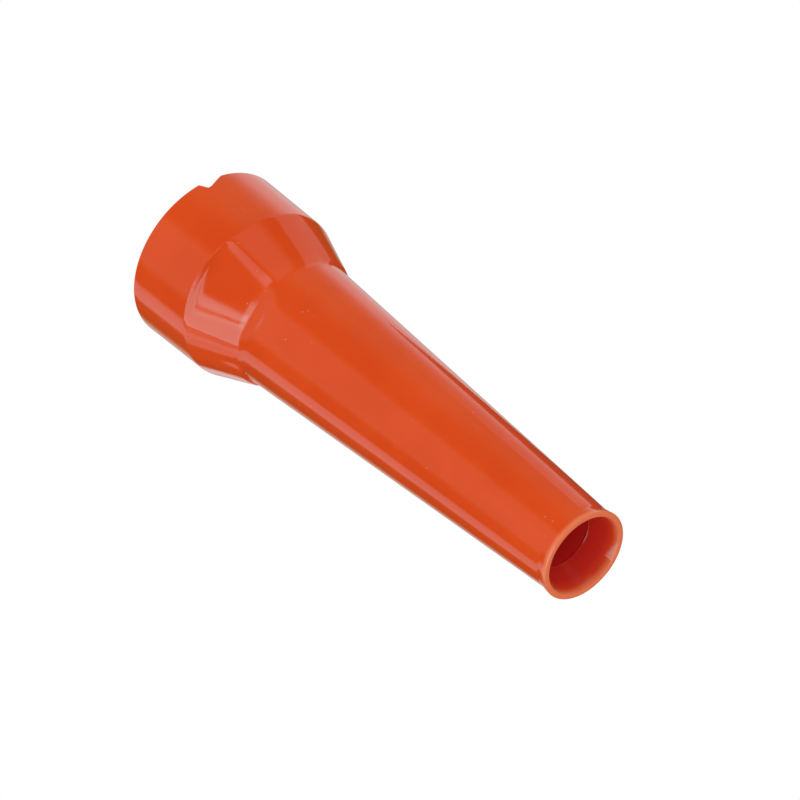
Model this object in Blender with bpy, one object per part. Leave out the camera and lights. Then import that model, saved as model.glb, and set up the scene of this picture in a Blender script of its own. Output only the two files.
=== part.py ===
"""Twist-on wire connector of the pass-through kind: an insulating shell and its grip spring.

The part stands upright on its wide rim. The origin is the centre of the rim face, +Z runs along
the axis to the open nose. Lengths below are in millimetres and become metres in mm().
"""
import math

import bmesh
import bpy
from mathutils import Vector

# ---- driving dimensions, mm -------------------------------------------------------------------
LENGTH = 45.0              # rim face to nose face
RIM_RADIUS = 7.25          # collar, outside, at the rim
COLLAR_END_RADIUS = 7.13   # collar, outside, where the shoulder starts
COLLAR_HEIGHT = 6.2
EDGE_BREAK = 0.15          # small chamfer on the outside edges

SHOULDER_START_Z = 6.5
SHOULDER_START_RADIUS = 7.13
SHOULDER_END_Z = 10.8
SHOULDER_END_RADIUS = 5.43
SIDE_STEP = 0.22           # how far the shoulder's end stands off the taper at its two sides

FLAT_COUNT = 2             # grip flats, opposite each other on the shoulder
FLAT_DIRECTION = 15.0      # where the first flat faces, degrees
FLAT_HALF_ANGLE = 28.3     # centre of a flat to its edge, degrees
FLAT_BULGE = 0.3           # 0 is a plane, 1 is no flat at all

CONE_BASE_Z = 11.0
CONE_BASE_RADIUS = 5.41
CONE_MIDDLE_Z = 27.0
LIP_HEIGHT = 1.0
LIP_NECK_RADIUS = 3.60
LIP_RADIUS = 3.76

CAVITY_RADIUS = 6.15       # inside the collar
CAVITY_DEPTH = 5.4
CHAMBER_START_Z = 7.2      # the spring chamber, after the wire guide
CHAMBER_START_RADIUS = 4.45
CHAMBER_END_Z = 24.4
CHAMBER_END_RADIUS = 3.75
THROAT_START_RADIUS = 3.05
SHUT_OFF_DEPTH = 2.45      # where the two moulding cores met, below the nose face
SHUT_OFF_RADIUS = 2.45
MOUTH_RADIUS = 3.28

NOTCH_DIRECTION = -38.0    # degrees
NOTCH_OUTLINE = ((0.95, -0.4), (0.95, 0.0), (0.58, 0.76), (0.23, 0.72), (-1.2, 0.0), (-1.2, -0.4))
NOTCH_INNER_RADIUS = 5.2
NOTCH_OUTER_RADIUS = 8.2

WIRE_DIAGONAL = 1.0        # square wire wound on edge
SPRING_PITCH = 1.4
SPRING_TURNS = 11
SPRING_START_Z = 8.2
SPRING_GAP = 0.3           # running gap between the wire and the chamber wall
STEPS_PER_TURN = 30

# directions of a ring's points over half a turn, measured from the middle of a flat
HALF_TURN_ANGLES = (-28.3, -24.5, -20.0, -15.0, -10.0, -5.0, 5.0, 10.0, 15.0, 20.0, 24.5, 28.3,
                    33.0, 38.0, 43.0, 48.0, 53.0, 58.0, 63.0, 68.0, 73.0, 78.0, 83.0, 88.0, 93.0,
                    98.0, 103.0, 108.0, 113.0, 118.0, 123.0, 128.0, 133.0, 138.0, 143.0, 147.5)


def mm(value):
    """Millimetres to metres."""
    return value * 0.001


def clear_scene():
    for old in list(bpy.data.objects):
        bpy.data.objects.remove(old, do_unlink=True)


def make_material(name, colour, roughness, metallic):
    material = bpy.data.materials.new(name)
    material.use_nodes = True
    shader = material.node_tree.nodes["Principled BSDF"]
    shader.inputs["Base Color"].default_value = (*colour, 1.0)
    shader.inputs["Roughness"].default_value = roughness
    shader.inputs["Metallic"].default_value = metallic
    return material


def link_object(name, mesh, material=None):
    obj = bpy.data.objects.new(name, mesh)
    bpy.context.scene.collection.objects.link(obj)
    if material is not None:
        mesh.materials.append(material)
    return obj


def ring_angles():
    """Directions of a ring's points: denser beside the flats' edges, the same on every ring."""
    step = 360.0 / FLAT_COUNT
    return [FLAT_DIRECTION + side * step + a for side in range(FLAT_COUNT) for a in HALF_TURN_ANGLES]


def round_section(radius):
    return lambda degrees: radius


def side_share(degrees):
    """0 at the front and back of the shoulder, 1 at its two sides, with a smooth change between."""
    side = abs(math.sin(math.radians(degrees)))
    t = min(max((side - 0.92) / 0.07, 0.0), 1.0)
    return t * t * (3.0 - 2.0 * t)


def flatted_section(base_radius, step_at_sides=0.0):
    """Radius of a circle that has the grip flats, each bulging a little."""
    half = math.radians(FLAT_HALF_ANGLE)

    def radius(degrees):
        full_radius = base_radius + step_at_sides * side_share(degrees)
        step = 360.0 / FLAT_COUNT
        off = (degrees - FLAT_DIRECTION + step / 2) % step - step / 2
        off = abs(math.radians(off))
        if off >= half:
            return full_radius
        chord = full_radius * math.cos(half) / math.cos(off)
        return chord + (full_radius - chord) * FLAT_BULGE
    return radius


def cone_radius(z):
    """Outer radius of the long taper at a height."""
    share = (z - CONE_BASE_Z) / (LENGTH - LIP_HEIGHT - CONE_BASE_Z)
    return CONE_BASE_RADIUS + (LIP_NECK_RADIUS - CONE_BASE_RADIUS) * share


def chamber_radius(z):
    """Radius of the spring chamber at a height."""
    share = (z - CHAMBER_START_Z) / (CHAMBER_END_Z - CHAMBER_START_Z)
    return CHAMBER_START_RADIUS + (CHAMBER_END_RADIUS - CHAMBER_START_RADIUS) * share


def shell_rings():
    """(height, section) from the rim up the outside, over the nose and down the inside."""
    neck_z = LENGTH - LIP_HEIGHT
    outside = [
        (0.0, round_section(RIM_RADIUS - EDGE_BREAK)),
        (EDGE_BREAK, round_section(RIM_RADIUS)),
        (COLLAR_HEIGHT, round_section(COLLAR_END_RADIUS)),
        (SHOULDER_START_Z, flatted_section(SHOULDER_START_RADIUS)),
        (SHOULDER_END_Z, flatted_section(SHOULDER_END_RADIUS, SIDE_STEP)),
        (CONE_BASE_Z, round_section(CONE_BASE_RADIUS)),
        (CONE_MIDDLE_Z, round_section(cone_radius(CONE_MIDDLE_Z))),
        (neck_z, round_section(cone_radius(neck_z))),
        (LENGTH - EDGE_BREAK, round_section(LIP_RADIUS)),
        (LENGTH, round_section(LIP_RADIUS - EDGE_BREAK)),
    ]
    inside = [
        (LENGTH, round_section(MOUTH_RADIUS)),
        (LENGTH - SHUT_OFF_DEPTH, round_section(SHUT_OFF_RADIUS)),
        (CHAMBER_END_Z, round_section(THROAT_START_RADIUS)),
        (CHAMBER_END_Z, round_section(CHAMBER_END_RADIUS)),
        (CHAMBER_START_Z, round_section(CHAMBER_START_RADIUS)),
        (CAVITY_DEPTH, round_section(CAVITY_RADIUS)),
        (0.0, round_section(CAVITY_RADIUS)),
    ]
    return outside + inside


def skin_rings(rings, angles):
    """A closed skin through rings of points; the last ring joins back to the first."""
    bm = bmesh.new()
    loops = []
    for z, section in rings:
        loop = []
        for a in angles:
            r = mm(section(a))
            turn = math.radians(a)
            loop.append(bm.verts.new((r * math.cos(turn), r * math.sin(turn), mm(z))))
        loops.append(loop)
    for low, high in zip(loops, loops[1:] + loops[:1]):
        for i in range(len(angles)):
            j = (i + 1) % len(angles)
            bm.faces.new((low[i], low[j], high[j], high[i]))
    return bm


def build_notch_cutter():
    """A wedge that takes the notch out of the rim, along one radius."""
    bm = bmesh.new()
    ends = []
    for r in (NOTCH_INNER_RADIUS, NOTCH_OUTER_RADIUS):
        ends.append([bm.verts.new((mm(r), mm(s), mm(z))) for s, z in NOTCH_OUTLINE])
    bm.faces.new(ends[0])
    bm.faces.new(reversed(ends[1]))
    count = len(NOTCH_OUTLINE)
    for i in range(count):
        j = (i + 1) % count
        bm.faces.new((ends[0][j], ends[0][i], ends[1][i], ends[1][j]))
    bmesh.ops.recalc_face_normals(bm, faces=bm.faces)
    mesh = bpy.data.meshes.new("notch_cutter")
    bm.to_mesh(mesh)
    bm.free()
    cutter = link_object("notch_cutter", mesh)
    cutter.rotation_euler[2] = math.radians(NOTCH_DIRECTION)
    cutter.hide_render = True
    cutter.display_type = "WIRE"
    return cutter


def build_shell():
    """The moulded shell: collar, shoulder with two grip flats, taper, lip, and the bore through it."""
    bm = skin_rings(shell_rings(), ring_angles())
    bmesh.ops.recalc_face_normals(bm, faces=bm.faces)
    mesh = bpy.data.meshes.new("shell")
    bm.to_mesh(mesh)
    bm.free()
    material = make_material("orange_plastic", (0.68, 0.085, 0.022), 0.22, 0.0)
    shell = link_object("shell", mesh, material)
    mesh.shade_smooth()
    mesh.set_sharp_from_angle(angle=math.radians(25.0))
    cut = shell.modifiers.new("rim_notch", "BOOLEAN")
    cut.object = build_notch_cutter()
    cut.operation = "DIFFERENCE"
    cut.solver = "EXACT"
    return shell


def spring_point(turns):
    """Centre of the wire after some turns: a helix that follows the tapered chamber."""
    z = SPRING_START_Z + SPRING_PITCH * turns
    radius = chamber_radius(z) - SPRING_GAP - WIRE_DIAGONAL / 2
    angle = 2.0 * math.pi * turns
    return radius, angle, z


def build_spring():
    """The grip spring: square steel wire on edge, so that a corner bites into the wires."""
    bm = bmesh.new()
    half = WIRE_DIAGONAL / 2
    loops = []
    for step in range(SPRING_TURNS * STEPS_PER_TURN + 1):
        radius, angle, z = spring_point(step / STEPS_PER_TURN)
        outward = Vector((math.cos(angle), math.sin(angle), 0.0))
        corners = ((half, 0.0), (0.0, half), (-half, 0.0), (0.0, -half))
        loop = []
        for out, rise in corners:
            point = outward * mm(radius + out)
            point.z = mm(z + rise)
            loop.append(bm.verts.new(point))
        loops.append(loop)
    for first, second in zip(loops, loops[1:]):
        for i in range(4):
            j = (i + 1) % 4
            bm.faces.new((first[i], first[j], second[j], second[i]))
    bm.faces.new(reversed(loops[0]))
    bm.faces.new(loops[-1])
    bmesh.ops.recalc_face_normals(bm, faces=bm.faces)
    mesh = bpy.data.meshes.new("grip_spring")
    bm.to_mesh(mesh)
    bm.free()
    material = make_material("zinc_plated_steel", (0.62, 0.63, 0.64), 0.3, 1.0)
    return link_object("grip_spring", mesh, material)


def main():
    clear_scene()
    build_shell()
    build_spring()


main()
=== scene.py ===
"""Looks of the twist-on wire connector: the moulded orange shell and the steel grip spring in it.

The object stands upright on its wide rim, its axis is +Z and its nose is open. Lengths in this
file are millimetres, as in the CAD model, and become metres in mm(); angles are degrees.
"""
import math

import bpy
from mathutils import Matrix, Vector


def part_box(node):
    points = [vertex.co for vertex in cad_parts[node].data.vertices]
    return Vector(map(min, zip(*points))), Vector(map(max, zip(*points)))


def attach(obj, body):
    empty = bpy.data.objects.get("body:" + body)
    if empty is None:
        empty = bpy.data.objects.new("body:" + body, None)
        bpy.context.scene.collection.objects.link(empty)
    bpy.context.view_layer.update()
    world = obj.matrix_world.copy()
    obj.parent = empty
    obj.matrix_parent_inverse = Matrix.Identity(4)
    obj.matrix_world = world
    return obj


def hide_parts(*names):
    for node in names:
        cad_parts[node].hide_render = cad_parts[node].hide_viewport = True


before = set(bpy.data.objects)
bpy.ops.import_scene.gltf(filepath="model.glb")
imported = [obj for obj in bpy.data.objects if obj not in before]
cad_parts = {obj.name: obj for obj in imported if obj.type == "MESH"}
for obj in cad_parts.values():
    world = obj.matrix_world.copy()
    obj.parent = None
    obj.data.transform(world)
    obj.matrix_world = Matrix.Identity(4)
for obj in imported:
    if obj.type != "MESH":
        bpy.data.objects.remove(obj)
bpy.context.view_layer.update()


def mm(value):
    """Millimetres to metres."""
    return value * 0.001


# ---- sizes: the two that drive the shell come from the frame ----------------------------------
SHELL_LOW, SHELL_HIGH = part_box("shell")
LENGTH = SHELL_HIGH[2] * 1000.0
RIM_RADIUS = SHELL_HIGH[0] * 1000.0

COLLAR_END_RADIUS = 7.13
COLLAR_HEIGHT = 6.2
SHOULDER_START_Z = 6.5
SHOULDER_START_RADIUS = 7.13
SHOULDER_END_Z = 10.8
SHOULDER_END_RADIUS = 5.43
SIDE_STEP = 0.22            # how far the shoulder stands off the taper at its two sides
FLAT_COUNT = 2
FLAT_DIRECTION = 15.0
FLAT_HALF_ANGLE = 28.3
FLAT_BULGE = 0.3            # 0 is a plane, 1 is no flat at all
FLAT_EDGE = 0.2             # how round the flat's two long edges are
FLAT_OVERRUN = 0.3          # how far the middle of a flat runs past the shoulder's end
CONE_BASE_Z = 11.0
CONE_BASE_RADIUS = 5.41
CONE_BLEND = 0.9            # how far the shoulder runs out into the taper at the front
FLAT_BLEND = 0.72           # and how much further in the middle of a flat
LIP_HEIGHT = 1.0
LIP_NECK_RADIUS = 3.60
LIP_RADIUS = 3.76
CAVITY_RADIUS = 6.15
CAVITY_DEPTH = 5.4
CHAMBER_START_Z = 7.2
CHAMBER_START_RADIUS = 4.45
CHAMBER_END_Z = 24.4
CHAMBER_END_RADIUS = 3.75
THROAT_START_RADIUS = 3.05
SHUT_OFF_DEPTH = 2.45
SHUT_OFF_RADIUS = 2.45
FLASH_HEIGHT = 0.05         # thin ridge left on the parting line in the mouth
MOUTH_RADIUS = 3.28
NOTCH_DIRECTION = -38.0
NOTCH_OUTLINE = ((-9.5, 0.0), (1.8, 0.72), (4.6, 0.76), (7.5, 0.0))
NOTCH_REACH = 2.0           # height below which the notch moves the wall's rings
DEFAULT_SHARES = (0.42, 0.42)
FILLET_STEPS = 5


# ---- camera ------------------------------------------------------------------------------------
CAMERA_DISTANCE = 400.0
CAMERA_ELEVATION = 36.91
CAMERA_ROLL = 128.73
CAMERA_LENS = 240.7
CAMERA_SHIFT = (0.0121, 0.0004)


def build_camera():
    data = bpy.data.cameras.new("camera")
    data.lens = CAMERA_LENS
    data.sensor_width = 36.0
    data.shift_x, data.shift_y = CAMERA_SHIFT
    data.clip_start = 0.01
    data.clip_end = 20.0
    camera = bpy.data.objects.new("camera", data)
    bpy.context.scene.collection.objects.link(camera)
    rise = math.radians(CAMERA_ELEVATION)
    back = Vector((math.cos(rise), 0.0, math.sin(rise)))
    side = Vector((0.0, 1.0, 0.0))
    level = Matrix((side, back.cross(side), back)).transposed()
    turned = level @ Matrix.Rotation(math.radians(CAMERA_ROLL), 3, "Z")
    camera.matrix_world = Matrix.Translation(
        back * mm(CAMERA_DISTANCE) + Vector((0.0, 0.0, mm(LENGTH / 2)))) @ turned.to_4x4()
    bpy.context.scene.camera = camera


# ---- profiles ----------------------------------------------------------------------------------
def flat_offset(degrees):
    """Degrees from the middle of the nearest grip flat."""
    step = 360.0 / FLAT_COUNT
    return abs((degrees - FLAT_DIRECTION + step / 2) % step - step / 2)


def flatted(full_radius, degrees):
    """Radius of the shoulder at a direction: a circle with bulging flats that have round edges."""
    off = min(flat_offset(degrees), 75.0)
    chord = full_radius * math.cos(math.radians(FLAT_HALF_ANGLE)) / math.cos(math.radians(off))
    depth = (full_radius - chord) * (1.0 - FLAT_BULGE)
    return full_radius - (depth + math.hypot(depth, FLAT_EDGE)) / 2


def side_share(degrees):
    """0 at the front and back of the shoulder, 1 at its two sides, with a smooth change between."""
    side = abs(math.sin(math.radians(degrees)))
    t = min(max((side - 0.92) / 0.07, 0.0), 1.0)
    return t * t * (3.0 - 2.0 * t)


def flat_share(degrees):
    """1 in the middle of a grip flat and 0 from its edges on."""
    return max(0.0, 1.0 - (flat_offset(degrees) / FLAT_HALF_ANGLE) ** 2)


def notch_depth(degrees):
    """How far the notch cuts into the rim at a direction."""
    off = (degrees - NOTCH_DIRECTION + 180.0) % 360.0 - 180.0
    for (a, low), (b, high) in zip(NOTCH_OUTLINE, NOTCH_OUTLINE[1:]):
        if a <= off <= b:
            return low + (high - low) * (off - a) / (b - a)
    return 0.0


def shell_outline(degrees):
    """Corners of the wall's section at one direction: (radius, height, fillet, rings after it).

    Two more numbers, where given, are the largest shares of the sides that the fillet takes.
    """
    neck = LENGTH - LIP_HEIGHT
    side = side_share(degrees)
    end_radius = flatted(SHOULDER_END_RADIUS + SIDE_STEP * side, degrees)
    end_z = SHOULDER_END_Z + FLAT_OVERRUN * flat_share(degrees)
    base_z = CONE_BASE_Z + CONE_BLEND * (1.0 - side) + FLAT_BLEND * flat_share(degrees)
    slope = (CONE_BASE_RADIUS - LIP_NECK_RADIUS) / (neck - CONE_BASE_Z)
    base_radius = CONE_BASE_RADIUS - slope * (base_z - CONE_BASE_Z)
    return [
        (RIM_RADIUS, 0.0, 0.14, 10),
        (COLLAR_END_RADIUS, COLLAR_HEIGHT, 0.2, 1, 0.1, 0.3),
        (flatted(SHOULDER_START_RADIUS, degrees), SHOULDER_START_Z, 1.8, 8, 0.65, 0.15),
        (end_radius, end_z, 4.0 - 3.0 * side, 1, 0.28, 0.62),
        (base_radius, base_z, 6.0, 40, 0.37, 0.12),
        (LIP_NECK_RADIUS, neck, 1.2, 1),
        (LIP_RADIUS, LENGTH, 0.2, 1),
        (MOUTH_RADIUS, LENGTH, 0.2, 2),
        (SHUT_OFF_RADIUS, LENGTH - SHUT_OFF_DEPTH + FLASH_HEIGHT, 0.02, 1),
        (SHUT_OFF_RADIUS - FLASH_HEIGHT, LENGTH - SHUT_OFF_DEPTH, 0.02, 1),
        (SHUT_OFF_RADIUS, LENGTH - SHUT_OFF_DEPTH - FLASH_HEIGHT, 0.02, 14),
        (THROAT_START_RADIUS, CHAMBER_END_Z, 0.2, 1),
        (CHAMBER_END_RADIUS, CHAMBER_END_Z, 0.2, 14),
        (CHAMBER_START_RADIUS, CHAMBER_START_Z, 0.4, 2),
        (CAVITY_RADIUS, CAVITY_DEPTH, 0.5, 4),
        (CAVITY_RADIUS, 0.0, 0.12, 1),
    ]


def filleted(outline):
    """The closed outline as points, each corner an arc and each long side cut into rings."""
    count = len(outline)
    corners = [Vector(row[:2]) for row in outline]
    arcs = []
    for i, row in enumerate(outline):
        here = corners[i]
        to_last = corners[i - 1] - here
        to_next = corners[(i + 1) % count] - here
        bend = math.pi - to_last.angle(to_next)
        trim = row[2] * math.tan(bend / 2)
        share = row[4:] or DEFAULT_SHARES
        trim = min(trim, share[0] * to_last.length, share[1] * to_next.length)
        start = here + to_last.normalized() * trim
        end = here + to_next.normalized() * trim
        arc = []
        for k in range(FILLET_STEPS + 1):
            t = k / FILLET_STEPS
            arc.append(start * (1 - t) ** 2 + here * (2 * t * (1 - t)) + end * t ** 2)
        arcs.append(arc)
    points = []
    for i, row in enumerate(outline):
        points += arcs[i]
        start, end = arcs[i][-1], arcs[(i + 1) % count][0]
        points += [start.lerp(end, k / row[3]) for k in range(1, row[3])]
    return points


def shell_angles():
    """Directions of the mesh's columns: finer along the flats' edges and through the notch."""
    angles = set(range(0, 360))
    for side in range(FLAT_COUNT):
        for edge in (-FLAT_HALF_ANGLE, FLAT_HALF_ANGLE):
            middle = FLAT_DIRECTION + side * 360.0 / FLAT_COUNT + edge
            angles |= {round((middle + k * 0.5) % 360.0, 3) for k in range(-9, 10)}
    angles |= {round((NOTCH_DIRECTION + k * 0.25) % 360.0, 3) for k in range(-32, 33)}
    return sorted(angles)


def mesh_object(name, points, faces, materials, sharp=40.0):
    mesh = bpy.data.meshes.new(name)
    mesh.from_pydata(points, [], faces)
    mesh.update()
    for material in materials:
        mesh.materials.append(material)
    mesh.shade_smooth()
    mesh.set_sharp_from_angle(angle=math.radians(sharp))
    obj = bpy.data.objects.new(name, mesh)
    bpy.context.scene.collection.objects.link(obj)
    return obj


def build_shell(material):
    """The moulding as one skin: every column of points is the wall's section at that direction."""
    points, faces = [], []
    angles = shell_angles()
    rows = 0
    for degrees in angles:
        turn = math.radians(degrees)
        cut = notch_depth(degrees)
        section = filleted(shell_outline(degrees))
        rows = len(section)
        for radius, z in section:
            if z < NOTCH_REACH:
                z = cut + z * (1.0 - cut / NOTCH_REACH)
            points.append((mm(radius * math.cos(turn)), mm(radius * math.sin(turn)), mm(z)))
    for column in range(len(angles)):
        here = column * rows
        there = (column + 1) % len(angles) * rows
        for row in range(rows):
            above = (row + 1) % rows
            faces.append((here + row, there + row, there + above, here + above))
    return mesh_object("shell_moulding", points, faces, [material])


# ---- grip spring -------------------------------------------------------------------------------
WIRE_DIAGONAL = 1.0
SPRING_PITCH = 1.4
SPRING_TURNS = 11
SPRING_START_Z = 8.2
SPRING_GAP = 0.3
SPRING_STEPS = 90
WIRE_EDGE = 0.07


def chamber_radius(z):
    share = (z - CHAMBER_START_Z) / (CHAMBER_END_Z - CHAMBER_START_Z)
    return CHAMBER_START_RADIUS + (CHAMBER_END_RADIUS - CHAMBER_START_RADIUS) * share


def wire_section():
    """Square wire standing on edge, its four edges drawn slightly round."""
    half = WIRE_DIAGONAL / 2
    corners = [Vector((half, 0)), Vector((0, half)), Vector((-half, 0)), Vector((0, -half))]
    ring = []
    for i, corner in enumerate(corners):
        last = (corners[i - 1] - corner).normalized()
        following = (corners[(i + 1) % 4] - corner).normalized()
        for t in (0.0, 0.33, 0.67, 1.0):
            start, end = corner + last * WIRE_EDGE, corner + following * WIRE_EDGE
            ring.append(start * (1 - t) ** 2 + corner * (2 * t * (1 - t)) + end * t ** 2)
    return ring


def build_spring(material):
    ring = wire_section()
    size = len(ring)
    points, faces = [], []
    steps = SPRING_TURNS * SPRING_STEPS
    for step in range(steps + 1):
        turns = step / SPRING_STEPS
        z = SPRING_START_Z + SPRING_PITCH * turns
        radius = chamber_radius(z) - SPRING_GAP - WIRE_DIAGONAL / 2
        turn = 2.0 * math.pi * turns
        for out, rise in ring:
            reach = radius + out
            points.append((mm(reach * math.cos(turn)), mm(reach * math.sin(turn)), mm(z + rise)))
    for step in range(steps):
        for i in range(size):
            j = (i + 1) % size
            a, b = step * size, (step + 1) * size
            faces.append((a + i, b + i, b + j, a + j))
    faces.append(tuple(range(size)))
    faces.append(tuple(reversed(range(steps * size, (steps + 1) * size))))
    return mesh_object("spring_wire", points, faces, [material], sharp=50.0)


# ---- node helpers ------------------------------------------------------------------------------
def add(tree, kind, settings=None, **inputs):
    """A node with its settings and inputs; an input is a value or another node's output."""
    made = tree.nodes.new(kind)
    for name, value in (settings or {}).items():
        setattr(made, name, value)
    for name, value in inputs.items():
        socket = made.inputs[int(name[1:])] if name[1:].isdigit() else made.inputs[name.replace("_", " ")]
        if isinstance(value, bpy.types.NodeSocket):
            tree.links.new(value, socket)
        else:
            socket.default_value = value
    return made


def calc(tree, operation, a, b=0.0, clamp=False):
    settings = {"operation": operation, "use_clamp": clamp}
    return add(tree, "ShaderNodeMath", settings, i0=a, i1=b).outputs[0]


def ramp(tree, value, low, high, start=0.0, end=1.0):
    """A smooth step of a value between two limits."""
    settings = {"interpolation_type": "SMOOTHSTEP"}
    made = add(tree, "ShaderNodeMapRange", settings, Value=value, From_Min=low, From_Max=high,
               To_Min=start, To_Max=end)
    return made.outputs[0]


def window(tree, value, low, high, soft):
    """1 between two limits and 0 outside them, with soft sides."""
    up = ramp(tree, value, low - soft / 2, low + soft / 2)
    down = ramp(tree, value, high - soft / 2, high + soft / 2, 1.0, 0.0)
    return calc(tree, "MULTIPLY", up, down)


def mixed(tree, share, first, second):
    made = tree.nodes.new("ShaderNodeMix")
    made.data_type = "RGBA"
    sockets = (made.inputs["Factor"], made.inputs[6], made.inputs[7])
    for socket, value in zip(sockets, (share, first, second)):
        if isinstance(value, bpy.types.NodeSocket):
            tree.links.new(value, socket)
        else:
            socket.default_value = value
    return made.outputs[2]


def noise(tree, place, size, detail=2.0):
    """Noise whose lumps are about `size` millimetres."""
    made = add(tree, "ShaderNodeTexNoise", None, Vector=place, Scale=1000.0 / size, Detail=detail)
    return made.outputs["Fac"]


# ---- materials ---------------------------------------------------------------------------------
def axis_distance(tree, parts):
    """Distance from the object's axis, from its separated coordinates."""
    across = add(tree, "ShaderNodeCombineXYZ", None, X=parts.outputs[0], Y=parts.outputs[1])
    length = add(tree, "ShaderNodeVectorMath", {"operation": "LENGTH"}, i0=across.outputs[0])
    return length.outputs["Value"]


def new_material(name):
    material = bpy.data.materials.new(name)
    material.use_nodes = True
    tree = material.node_tree
    place = tree.nodes.new("ShaderNodeTexCoord").outputs["Object"]
    return material, tree, tree.nodes["Principled BSDF"], place


def stretched(tree, place, x, y, z):
    made = add(tree, "ShaderNodeMapping", None, Vector=place, Scale=(x, y, z))
    return made.outputs[0]


ORANGE = (0.70, 0.0675, 0.0092, 1.0)
ORANGE_DEEP = (0.67, 0.0605, 0.0078, 1.0)
ORANGE_PALE = (0.84, 0.250, 0.115, 1.0)
# painted shade and painted light: a deeper red for the shade inside the bore, and a weak glow past the
# parting line
BORE_SHADE_RED = (0.58, 0.024, 0.014, 1.0)
BORE_GLOW = (0.045, 0.0006, 0.0015, 1.0)
DUST = (0.80, 0.33, 0.20, 1.0)


def orange_plastic():
    """Glossy moulded plastic: faint mottle, thin edges a little paler, a painted shade of deeper red and
    a weak painted glow inside, dust specks and hairlines.
    """
    material, tree, shader, place = new_material("orange_plastic")
    parts = add(tree, "ShaderNodeSeparateXYZ", None, Vector=place)
    height = parts.outputs[2]
    mottle = noise(tree, place, 5.0, 3.0)
    colour = mixed(tree, ramp(tree, mottle, 0.35, 0.65), ORANGE_DEEP, ORANGE)

    # the thin lip lets light through
    lip = ramp(tree, height, mm(LENGTH - 0.6), mm(LENGTH - 0.15), 0.0, 0.62)
    colour = mixed(tree, lip, colour, ORANGE_PALE)

    # painted shade: the bore is painted a deeper red for the shade inside it, and past the parting line a
    # weak painted glow stands in for light through the wall
    reach = axis_distance(tree, parts)
    bore = calc(tree, "MULTIPLY", ramp(tree, reach, mm(3.2), mm(3.36), 1.0, 0.0),
                ramp(tree, height, mm(LENGTH + 0.2), mm(LENGTH - 1.3)))
    colour = mixed(tree, bore, colour, BORE_SHADE_RED)
    deep = calc(tree, "MULTIPLY", ramp(tree, reach, mm(3.0), mm(3.1), 1.0, 0.0),
                ramp(tree, height, mm(LENGTH - SHUT_OFF_DEPTH), mm(LENGTH - SHUT_OFF_DEPTH - 0.4)))
    glow = mixed(tree, deep, (0.0, 0.0, 0.0, 1.0), BORE_GLOW)
    tree.links.new(glow, shader.inputs["Emission Color"])
    shader.inputs["Emission Strength"].default_value = 1.0

    # dust: a few cells of a fine cell pattern carry one speck each
    cells = add(tree, "ShaderNodeTexVoronoi", None, Vector=place, Scale=1400.0)
    chosen = add(tree, "ShaderNodeSeparateColor", None, Color=cells.outputs["Color"]).outputs[0]
    patch = ramp(tree, noise(tree, place, 4.0), 0.42, 0.62, 0.02, 0.42)
    carries = calc(tree, "LESS_THAN", chosen, patch)
    speck = ramp(tree, cells.outputs["Distance"], 0.03, 0.13, 0.38, 0.0)
    speck = calc(tree, "MULTIPLY", speck, carries)
    colour = mixed(tree, speck, colour, DUST)

    # hairline scratches, long and thin, in patches
    lines = add(tree, "ShaderNodeTexNoise", None, Vector=stretched(tree, place, 9000, 9000, 350),
                Scale=1.0, Detail=1.0).outputs["Fac"]
    where = ramp(tree, noise(tree, place, 6.0), 0.5, 0.7)
    lines = calc(tree, "MULTIPLY", ramp(tree, lines, 0.70, 0.74), where)
    colour = mixed(tree, calc(tree, "MULTIPLY", lines, 0.25), colour, ORANGE_PALE)
    tree.links.new(colour, shader.inputs["Base Color"])

    rough = ramp(tree, noise(tree, place, 1.5, 4.0), 0.3, 0.7, 0.08, 0.12)
    rough = calc(tree, "ADD", rough, calc(tree, "MULTIPLY", speck, 0.5))
    rough = calc(tree, "ADD", rough, calc(tree, "MULTIPLY", lines, 0.15))
    tree.links.new(rough, shader.inputs["Roughness"])
    shader.inputs["IOR"].default_value = 1.5

    ripple = add(tree, "ShaderNodeTexNoise", None, Vector=place, Scale=420.0, Detail=1.0).outputs["Fac"]
    grain = noise(tree, place, 0.12, 2.0)
    relief = calc(tree, "ADD", ripple, calc(tree, "MULTIPLY", grain, 0.04))
    relief = calc(tree, "ADD", relief, calc(tree, "MULTIPLY", speck, 0.15))
    bump = add(tree, "ShaderNodeBump", None, Height=relief, Strength=0.25, Distance=0.00002)
    tree.links.new(bump.outputs[0], shader.inputs["Normal"])
    return material


def zinc_steel():
    """Drawn wire with bright zinc: fine lines along the wire and cloudy patches."""
    material, tree, shader, place = new_material("zinc_plated_steel")
    parts = add(tree, "ShaderNodeSeparateXYZ", None, Vector=place)
    along = add(tree, "ShaderNodeCombineXYZ", None, X=axis_distance(tree, parts), Y=parts.outputs[2])
    lines = add(tree, "ShaderNodeTexNoise", None, Vector=along.outputs[0], Scale=14000.0, Detail=2.0)
    cloud = noise(tree, place, 1.8, 3.0)
    colour = mixed(tree, ramp(tree, cloud, 0.3, 0.7), (0.52, 0.53, 0.55, 1.0), (0.70, 0.71, 0.71, 1.0))
    tree.links.new(colour, shader.inputs["Base Color"])
    shader.inputs["Metallic"].default_value = 1.0
    rough = ramp(tree, lines.outputs["Fac"], 0.3, 0.7, 0.20, 0.36)
    tree.links.new(rough, shader.inputs["Roughness"])
    bump = add(tree, "ShaderNodeBump", None, Height=lines.outputs["Fac"], Strength=0.3, Distance=0.00001)
    tree.links.new(bump.outputs[0], shader.inputs["Normal"])
    return material


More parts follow.
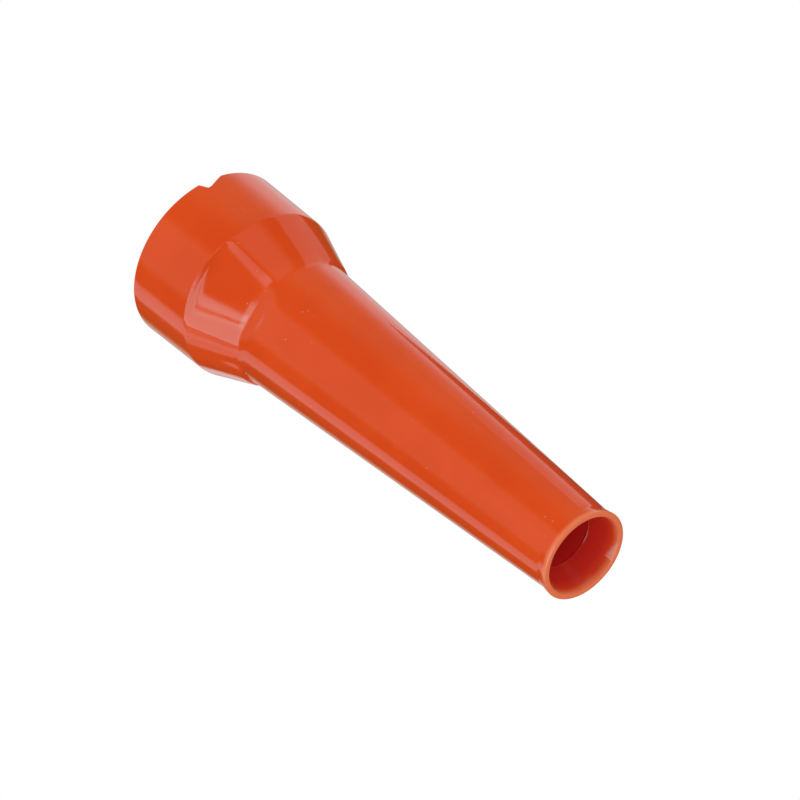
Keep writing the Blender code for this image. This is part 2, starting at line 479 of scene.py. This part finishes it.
# ---- stage -------------------------------------------------------------------------------------
# What the gloss sees around the connector. Azimuth turns from +X to +Y, elevation is above the
# rim plane: (name, azimuth from, to, softness, elevation from, to, softness, brightness).
SOFT_BOXES = (
    ("paper behind, left", -260, -108, 44, -130, -31, 5, 0.51),
    ("brighter paper, left", -158, -112, 22, -130, -31, 5, 0.36),
    ("paper behind, right", 148, 260, 18, -130, -29, 5, 0.55),
    ("paper right, high", 146, 200, 3, -31, -8, 6, 0.95),
    ("paper beside, left", -122, -44, 44, -130, -27, 6, 0.34),
    ("card beside, left", -121, -86, 2, -31, 10, 4, 0.60),
    ("fill, left", -66, -26, 14, -24, 10, 10, 0.50),
    ("paper in front", -3, 62, 14, -130, -15, 8, 0.46),
    ("main soft box", 32.5, 78, 2, -22, 74, 3, 2.7),
    ("hot edge of the main soft box", 36, 43, 3, -8, 30, 6, 0.9),
    ("low edge of the main soft box", 21, 43, 8, -26, -9, 4, 2.4),
    ("haze round the main soft box", 76, 94, 8, -24, 60, 8, 0.55),
    ("strip light", 90, 113, 6, -130, -24, 4, 0.85),
    ("strip light, upper part", 90, 107, 4, -24, 30, 4, 0.85),
    ("edge light", -17, 4, 10, -16, 4, 4, 1.6),
    ("low soft box", 40, 160, 30, -95, -60, 6, 1.0),
)
SEAM_BOXES = ("main soft box", "hot edge of the main soft box")
SEAM_FROM, SEAM_TO, SEAM_SOFT, SEAM_DEPTH = 38.0, 40.2, 0.6, 0.9    # dark seam, by azimuth
ROOM_GLOSS = 0.06                   # what the gloss sees between the soft boxes
AMBIENT_LOW = 0.58
AMBIENT_HIGH = 1.16
AMBIENT_SIDE = (0.94, 0.17, 0.30)   # direction that the soft light comes from
WHITE = (1.0, 1.0, 1.0, 1.0)


def build_world():
    """White for the camera, an uneven soft light on the plastic, and soft boxes in its gloss."""
    world = bpy.data.worlds.new("studio")
    bpy.context.scene.world = world
    world.use_nodes = True
    tree = world.node_tree
    background = tree.nodes["Background"]
    paths = tree.nodes.new("ShaderNodeLightPath")
    direction = tree.nodes.new("ShaderNodeTexCoord").outputs["Generated"]
    parts = add(tree, "ShaderNodeSeparateXYZ", None, Vector=direction)
    x, y, z = parts.outputs
    azimuth = calc(tree, "MULTIPLY", calc(tree, "ARCTAN2", y, x), 180.0 / math.pi)
    elevation = calc(tree, "MULTIPLY", calc(tree, "ARCSINE", z), 180.0 / math.pi)

    gloss = ROOM_GLOSS
    for name, left, right, soft, low, high, fade, bright in SOFT_BOXES:
        box = calc(tree, "MULTIPLY", window(tree, azimuth, left, right, soft),
                   window(tree, elevation, low, high, fade))
        if name in SEAM_BOXES:
            seam = window(tree, azimuth, SEAM_FROM, SEAM_TO, SEAM_SOFT)
            seam = calc(tree, "MULTIPLY", seam, SEAM_DEPTH)
            box = calc(tree, "MULTIPLY", box, calc(tree, "SUBTRACT", 1.0, seam))
        gloss = calc(tree, "ADD", gloss, calc(tree, "MULTIPLY", box, float(bright)))

    toward = Vector(AMBIENT_SIDE).normalized()
    lean = add(tree, "ShaderNodeVectorMath", {"operation": "DOT_PRODUCT"}, i0=direction, i1=toward)
    soft = add(tree, "ShaderNodeMapRange", None, Value=lean.outputs["Value"], From_Min=-1.0,
               From_Max=1.0, To_Min=AMBIENT_LOW, To_Max=AMBIENT_HIGH).outputs[0]
    glossy, camera = paths.outputs["Is Glossy Ray"], paths.outputs["Is Camera Ray"]
    # weak reflections are warm, as off paper that the plastic tints; bright ones lose some red
    blue = calc(tree, "MULTIPLY", gloss, ramp(tree, gloss, 0.2, 0.75, 0.45, 1.03))
    red = calc(tree, "MULTIPLY", gloss, ramp(tree, gloss, 0.9, 2.4, 0.92, 0.45))
    shine = add(tree, "ShaderNodeCombineColor", None, Red=red, Green=gloss, Blue=blue).outputs[0]
    diffuse = add(tree, "ShaderNodeCombineColor", None, Red=soft, Green=soft, Blue=soft).outputs[0]
    light = mixed(tree, glossy, diffuse, shine)
    light = mixed(tree, camera, light, WHITE)
    tree.links.new(light, background.inputs["Color"])
    background.inputs["Strength"].default_value = 1.0


FLOOR_SIDE = 6000.0
FLOOR_GAP = 0.02


def stage_card(name, corners, material_name):
    """A four-cornered card in metres with an empty material: the card, its node tree and output."""
    mesh = bpy.data.meshes.new(name)
    mesh.from_pydata(corners, [], [(0, 1, 2, 3)])
    card = bpy.data.objects.new(name, mesh)
    bpy.context.scene.collection.objects.link(card)
    material = bpy.data.materials.new(material_name)
    material.use_nodes = True
    tree = material.node_tree
    tree.nodes.clear()
    mesh.materials.append(material)
    return card, tree, tree.nodes.new("ShaderNodeOutputMaterial")


def build_floor():
    """White paper under the connector; from below it is clear, so the cavity stays in view."""
    side = mm(FLOOR_SIDE / 2)
    floor, tree, out = stage_card(
        "floor", [(-side, -side, 0), (side, -side, 0), (side, side, 0), (-side, side, 0)], "white_paper")
    floor.location.z = -mm(FLOOR_GAP)
    paper = add(tree, "ShaderNodeEmission", None, Color=WHITE, Strength=1.0)
    clear = tree.nodes.new("ShaderNodeBsdfTransparent")
    below = tree.nodes.new("ShaderNodeNewGeometry").outputs["Backfacing"]
    mix = tree.nodes.new("ShaderNodeMixShader")
    tree.links.new(below, mix.inputs[0])
    tree.links.new(paper.outputs[0], mix.inputs[1])
    tree.links.new(clear.outputs[0], mix.inputs[2])
    tree.links.new(mix.outputs[0], out.inputs["Surface"])
    floor.visible_diffuse = False
    floor.visible_glossy = False
    floor.visible_shadow = False


FLAG_CORNERS = ((-24.9, -46.3, -15.5), (-47.0, -18.0, 7.0), (-47.0, -18.0, 34.0), (-24.9, -46.3, 34.0))
FLAG_GREY = (0.05, 0.05, 0.05, 1.0)


def build_flag():
    """A dark card near the taper, seen only in the gloss."""
    corners = [tuple(mm(v) for v in corner) for corner in FLAG_CORNERS]
    flag, tree, out = stage_card("flag", corners, "black_card")
    dark = add(tree, "ShaderNodeEmission", None, Color=FLAG_GREY, Strength=1.0)
    tree.links.new(dark.outputs[0], out.inputs["Surface"])
    flag.visible_camera = False
    flag.visible_diffuse = False
    flag.visible_shadow = False
    flag.visible_transmission = False


def main():
    build_camera()
    bpy.context.scene.view_settings.view_transform = "Standard"
    shell = build_shell(orange_plastic())
    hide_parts("shell")
    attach(shell, "root")
    spring = build_spring(zinc_steel())
    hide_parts("grip_spring")
    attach(spring, "root")
    build_world()
    build_floor()
    build_flag()


main()
